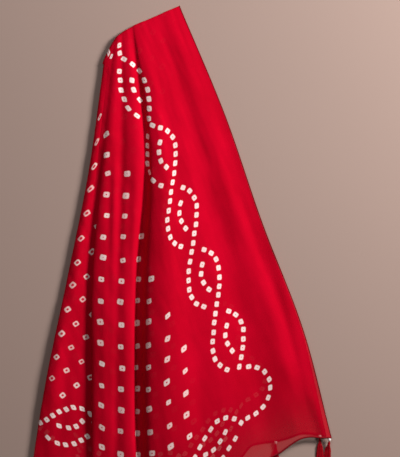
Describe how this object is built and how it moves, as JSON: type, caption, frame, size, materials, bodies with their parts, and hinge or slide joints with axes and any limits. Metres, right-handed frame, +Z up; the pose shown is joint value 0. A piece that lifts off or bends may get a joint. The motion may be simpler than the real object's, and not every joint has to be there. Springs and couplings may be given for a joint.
{
  "type": "bandhani cloth",
  "caption": "Red tie-dyed bandhani dupatta folded double at the shoulder and laid out, with hanging folds, white tied dots and beaded tassels along both ends.",
  "frame": {"origin": "on the flat underside of the back half, where it lies on the surface, near the middle of the cloth", "axes": "+Y up the cloth from the hems to the shoulder fold, +X towards the long inner selvage, +Z up from the surface through the front half"},
  "size_m": [0.6347, 1.1515, 0.0454],
  "materials": {
    "dyed_cloth": "soft sheer cotton silk, plain weave",
    "tassel_thread": "soft twisted thread",
    "bead": "gloss"
  },
  "bodies": {
    "root": {"cloth": "dyed_cloth", "front_bead_1": "bead", "front_tassel_1": "tassel_thread", "front_bead_2": "bead", "front_tassel_2": "tassel_thread", "front_bead_3": "bead", "front_tassel_3": "tassel_thread", "front_bead_4": "bead", "front_tassel_4": "tassel_thread", "front_bead_5": "bead", "front_tassel_5": "tassel_thread", "front_bead_6": "bead", "front_tassel_6": "tassel_thread", "back_bead_1": "bead", "back_tassel_1": "tassel_thread", "back_bead_2": "bead", "back_tassel_2": "tassel_thread", "back_bead_3": "bead", "back_tassel_3": "tassel_thread", "back_bead_4": "bead", "back_tassel_4": "tassel_thread", "back_bead_5": "bead", "back_tassel_5": "tassel_thread", "back_bead_6": "bead", "back_tassel_6": "tassel_thread"}
  },
  "joints": []
}
